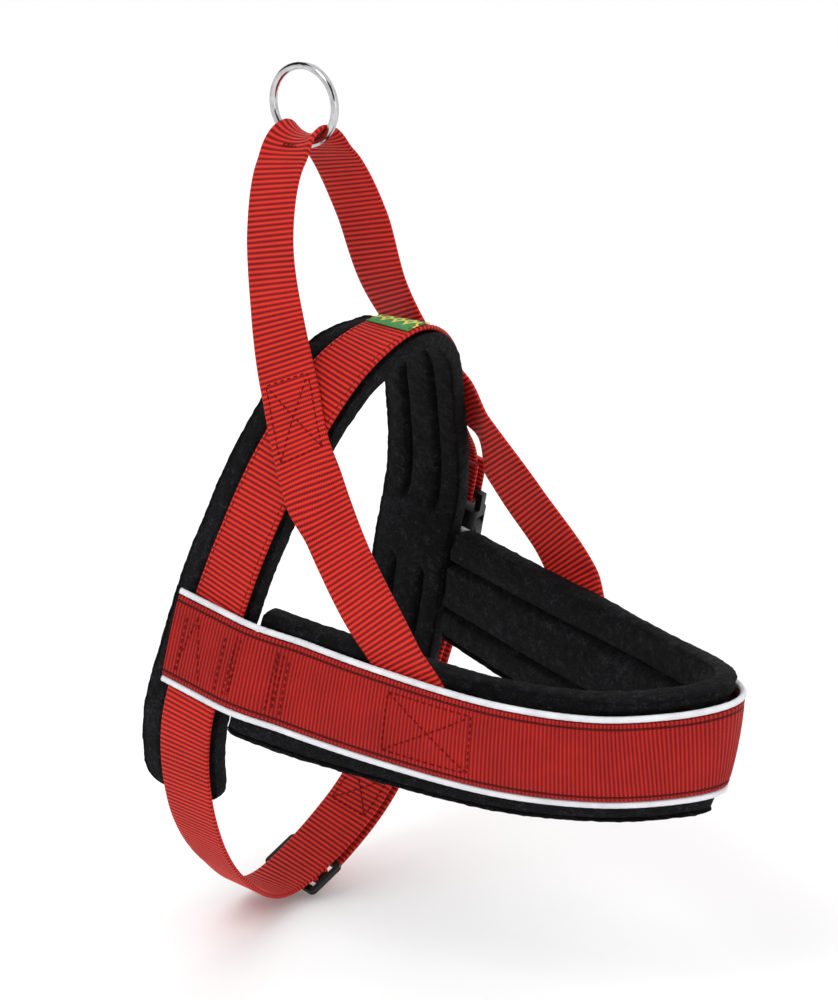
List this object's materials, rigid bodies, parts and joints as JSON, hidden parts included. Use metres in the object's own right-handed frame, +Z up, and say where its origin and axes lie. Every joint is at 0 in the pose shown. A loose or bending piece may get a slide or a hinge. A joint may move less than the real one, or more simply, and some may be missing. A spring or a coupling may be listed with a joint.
{
  "type": "padded dog harness",
  "caption": "Padded dog walking harness: fleece-lined chest band and back strap in webbing, a lead loop with a metal ring, a side-release buckle and a webbing adjuster.",
  "frame": {"origin": "on the underside of the back pad's crown, in the middle, where the harness rests on the dog's spine", "axes": "+X towards the dog's head, +Y the dog's left side, +Z up"},
  "size_m": [0.2485, 0.1695, 0.365],
  "materials": {
    "webbing": "woven red nylon",
    "fleece": "charcoal fleece pile",
    "foam": "soft foam",
    "piping": "pale reflective cord",
    "label": "woven label",
    "ring_metal": "polished",
    "plastic": "moulded, fine grain"
  },
  "bodies": {
    "harness": {"back_pad_cover": "fleece", "back_pad_foam": "foam", "chest_pad_cover": "fleece", "chest_pad_foam": "foam", "chest_webbing": "webbing", "chest_piping_upper": "piping", "chest_piping_lower": "piping", "back_webbing": "webbing", "woven_label": "label", "lead_strap_right": "webbing", "lead_strap_left": "webbing", "lead_loop_root_right": "webbing", "lead_loop_root_left": "webbing", "buckle_female": "plastic", "back_strap_fold": "webbing", "girth_webbing": "webbing", "girth_return_layer": "webbing"},
    "lead_loop": {"lead_loop": "webbing"},
    "ring": {"lead_ring": "ring_metal"},
    "adjuster": {"adjuster_frame": "plastic", "adjuster_webbing": "webbing"},
    "buckle_tongue": {"buckle_male": "plastic", "girth_strap_fold": "webbing"},
    "prong_front": {"buckle_prong_front": "plastic"},
    "prong_rear": {"buckle_prong_rear": "plastic"}
  },
  "joints": [
    {"name": "lead_loop_fold", "type": "hinge", "parent": "harness", "child": "lead_loop", "pos_m": [-0.0305, 0, 0.008], "axis": [0, 1, 0], "range_deg": [-70, 60], "stiffness_Nm_per_rad": 0.06, "deforming": ["lead_loop_root_right", "lead_loop_root_left"]},
    {"name": "ring_swing", "type": "hinge", "parent": "lead_loop", "child": "ring", "pos_m": [-0.0468, 0, 0.077], "axis": [1, 0, 0], "range_deg": [-100, 100]},
    {"name": "adjuster_slide", "type": "slide", "parent": "harness", "child": "adjuster", "axis": [0.2012, 0.8521, 0.4832], "range_m": [0, 0.012]},
    {"name": "tongue_release", "type": "slide", "parent": "harness", "child": "buckle_tongue", "axis": [-0.275, 0.1104, -0.9551], "range_m": [0, 0.024], "deforming": ["girth_webbing", "girth_return_layer"]},
    {"name": "prong_front_bend", "type": "hinge", "parent": "buckle_tongue", "child": "prong_front", "pos_m": [-0.02845, 0.0819, -0.11109], "axis": [-0.0165, -0.9938, -0.1102], "range_deg": [0, 15], "stiffness_Nm_per_rad": 0.5},
    {"name": "prong_rear_bend", "type": "hinge", "parent": "buckle_tongue", "child": "prong_rear", "pos_m": [-0.04845, 0.0816, -0.10537], "axis": [0.0165, 0.9938, 0.1102], "range_deg": [0, 15], "stiffness_Nm_per_rad": 0.5}
  ],
  "couplings": [
    {"joint": "prong_rear_bend", "follows": "prong_front_bend", "ratio": 1}
  ]
}
